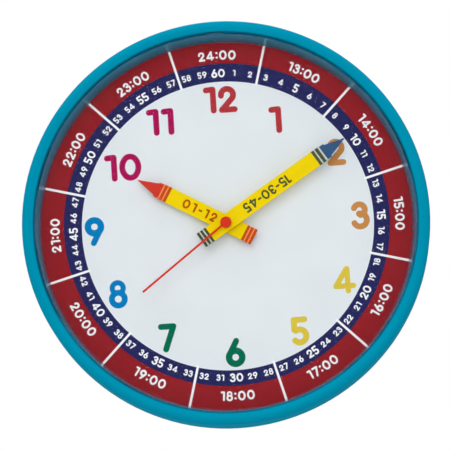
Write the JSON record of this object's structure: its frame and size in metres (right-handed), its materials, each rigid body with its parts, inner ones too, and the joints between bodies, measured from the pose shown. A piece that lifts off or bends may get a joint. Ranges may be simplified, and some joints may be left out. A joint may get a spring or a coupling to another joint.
{
  "type": "teaching clock",
  "caption": "Round wall clock for teaching the time, with a glossy rim, flat lens, ringed dial, crayon-shaped hands and a battery quartz movement that hangs on a keyhole plate.",
  "frame": {"origin": "on the hands' axis, in the plane of the wall that the back rim rests on", "axes": "+Z towards 12 o'clock, +X towards 3 o'clock, the dial faces -Y and +Y points into the wall"},
  "size_m": [0.26, 0.041, 0.26],
  "materials": {
    "rim_gloss": "glossy moulded teal plastic",
    "clear_lens": "clear polished flat lens",
    "dial_print": "satin white printed sheet",
    "pan_plastic": "fine textured moulded teal plastic",
    "steel_zinc": "bright zinc plated steel",
    "brass_turned": "turned brass",
    "rubber_black": "soft black rubber",
    "movement_black": "spark eroded black plastic",
    "soft_iron": "annealed soft iron",
    "natural_plastic": "natural acetal",
    "copper_wire": "enamelled copper wire",
    "board_green": "solder resist",
    "chip_black": "epoxy drop",
    "battery_sleeve": "printed steel can with a plain sleeve",
    "magnet_grey": "bonded ferrite",
    "hand_yellow": "satin yellow sheet plastic",
    "second_red": "red lacquered aluminium"
  },
  "bodies": {
    "case": {"front_bezel": "rim_gloss", "lens": "clear_lens", "spacer_ring": "rim_gloss", "dial_plate": "dial_print", "case_pan": "pan_plastic", "wall_ring": "pan_plastic", "bezel_screws": "steel_zinc", "hanger_plate": "steel_zinc", "hanger_screws": "steel_zinc", "hex_nut": "brass_turned", "flat_washer": "steel_zinc", "rubber_washer": "rubber_black", "movement_front_case": "movement_black", "movement_rear_cover": "movement_black", "cover_screws": "steel_zinc", "centre_bush": "brass_turned", "stator": "soft_iron", "coil_core": "soft_iron", "coil_bobbin": "natural_plastic", "coil_winding": "copper_wire", "circuit_board": "board_green", "quartz_crystal": "steel_zinc", "control_chip": "chip_black", "positive_contact": "steel_zinc", "negative_contact": "steel_zinc", "battery": "battery_sleeve"},
    "minutes": {"minute_pipe": "natural_plastic", "minute_hand": "hand_yellow"},
    "hours": {"hour_wheel": "natural_plastic", "hour_hand": "hand_yellow"},
    "setting": {"setting_wheel": "natural_plastic", "setting_knob": "movement_black"},
    "seconds": {"second_wheel": "natural_plastic", "second_arbor": "steel_zinc", "second_hand": "second_red", "second_hand_tube": "brass_turned"},
    "third": {"third_wheel": "natural_plastic"},
    "centre": {"centre_wheel": "natural_plastic"},
    "intermediate": {"intermediate_wheel": "natural_plastic"},
    "rotor": {"rotor_pinion": "natural_plastic", "rotor_magnet": "magnet_grey"}
  },
  "joints": [
    {"name": "minute_hand_turn", "type": "hinge", "parent": "case", "child": "minutes", "pos_m": [0, 0, 0], "axis": [0, 1, 0], "continuous": true},
    {"name": "hour_hand_turn", "type": "hinge", "parent": "case", "child": "hours", "pos_m": [0, 0, 0], "axis": [0, 1, 0], "continuous": true},
    {"name": "setting_knob_turn", "type": "hinge", "parent": "case", "child": "setting", "pos_m": [-0.00886, 0, 0.00156], "axis": [0, 1, 0], "continuous": true},
    {"name": "second_hand_turn", "type": "hinge", "parent": "case", "child": "seconds", "pos_m": [0, 0, 0], "axis": [0, 1, 0], "continuous": true},
    {"name": "third_wheel_turn", "type": "hinge", "parent": "case", "child": "third", "pos_m": [0.00837, 0, 0.00148], "axis": [0, 1, 0], "continuous": true},
    {"name": "centre_wheel_turn", "type": "hinge", "parent": "case", "child": "centre", "pos_m": [0, 0, 0], "axis": [0, 1, 0], "continuous": true},
    {"name": "intermediate_wheel_turn", "type": "hinge", "parent": "case", "child": "intermediate", "pos_m": [0, 0, 0.009], "axis": [0, 1, 0], "continuous": true},
    {"name": "rotor_turn", "type": "hinge", "parent": "case", "child": "rotor", "pos_m": [0, 0, 0.016], "axis": [0, 1, 0], "continuous": true}
  ],
  "couplings": [
    {"joint": "hour_hand_turn", "follows": "minute_hand_turn", "ratio": 0.083333},
    {"joint": "setting_knob_turn", "follows": "minute_hand_turn", "ratio": -0.33333},
    {"joint": "third_wheel_turn", "follows": "second_hand_turn", "ratio": -0.125},
    {"joint": "centre_wheel_turn", "follows": "second_hand_turn", "ratio": 0.016667},
    {"joint": "intermediate_wheel_turn", "follows": "second_hand_turn", "ratio": -5},
    {"joint": "rotor_turn", "follows": "second_hand_turn", "ratio": 30}
  ]
}
